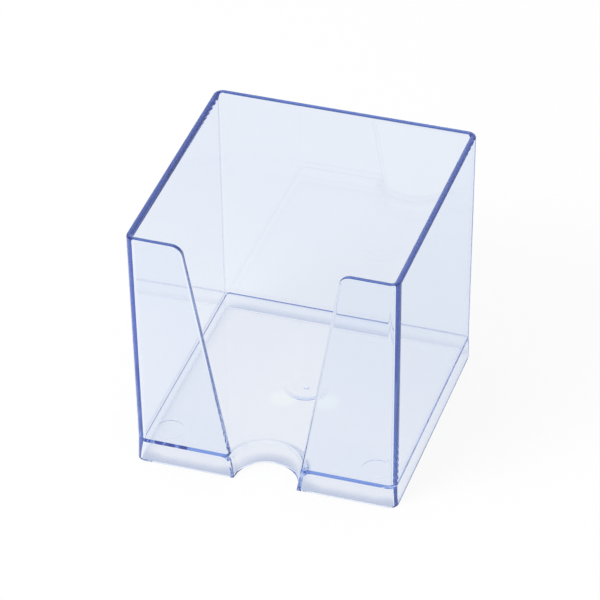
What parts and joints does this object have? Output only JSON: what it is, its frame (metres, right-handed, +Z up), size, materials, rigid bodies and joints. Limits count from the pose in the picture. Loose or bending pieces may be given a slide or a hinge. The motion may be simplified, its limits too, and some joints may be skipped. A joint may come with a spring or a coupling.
{
  "type": "memo holder",
  "caption": "Clear open-topped square box with a raised floor, a hollow skirt, a V-shaped front opening and a finger notch, for keeping loose note sheets on a desk.",
  "frame": {"origin": "middle of the footprint, on the desk", "axes": "+Z up, -Y towards the front opening, +X to the right as seen from the front"},
  "size_m": [0.098, 0.098, 0.0967],
  "materials": {
    "clear_blue_plastic": "clear polystyrene with a faint blue tint, polished, deep blue where it is seen edge on"
  },
  "bodies": {
    "root": {"back_wall": "clear_blue_plastic", "left_wall": "clear_blue_plastic", "right_wall": "clear_blue_plastic", "front_left_wing": "clear_blue_plastic", "front_right_wing": "clear_blue_plastic", "floor": "clear_blue_plastic", "notch_wall": "clear_blue_plastic"}
  },
  "joints": []
}
